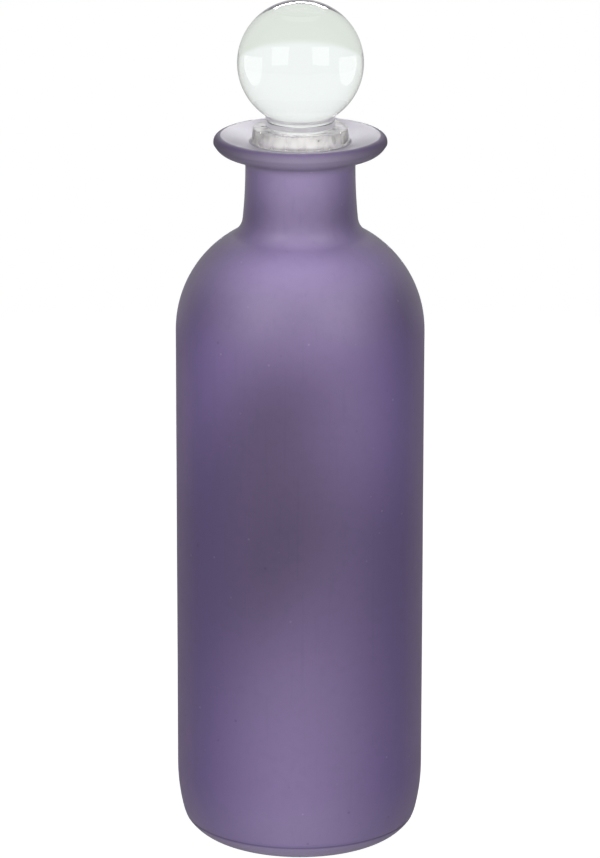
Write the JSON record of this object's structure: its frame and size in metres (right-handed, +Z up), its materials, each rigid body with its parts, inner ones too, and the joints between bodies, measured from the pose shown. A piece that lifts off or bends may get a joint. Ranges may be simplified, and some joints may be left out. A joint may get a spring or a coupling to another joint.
{
  "type": "stoppered glass bottle",
  "caption": "Cylindrical frosted glass bottle with a round shoulder and a flared, dished lip, closed by a lift-out clear glass ball stopper in a ribbed plastic seal.",
  "frame": {"origin": "centre of the base, on the surface the bottle stands on", "axes": "+Z up along the axis of the bottle and of the stopper"},
  "size_m": [0.0796, 0.0796, 0.2763],
  "materials": {
    "frosted_glass": "violet glass, frosted satin outside",
    "clear_plastic": "clear soft plastic, moulded",
    "clear_glass": "clear polished solid glass"
  },
  "bodies": {
    "bottle": {"bottle": "frosted_glass"},
    "seal": {"seal_sleeve": "clear_plastic"},
    "stopper": {"stopper": "clear_glass"}
  },
  "joints": [
    {"name": "stopper_lift", "type": "slide", "parent": "bottle", "child": "seal", "axis": [0, 0, 1], "range_m": [0, 0.06]},
    {"name": "stopper_twist", "type": "hinge", "parent": "seal", "child": "stopper", "pos_m": [0, 0, 0.25], "axis": [0, 0, 1], "continuous": true}
  ]
}
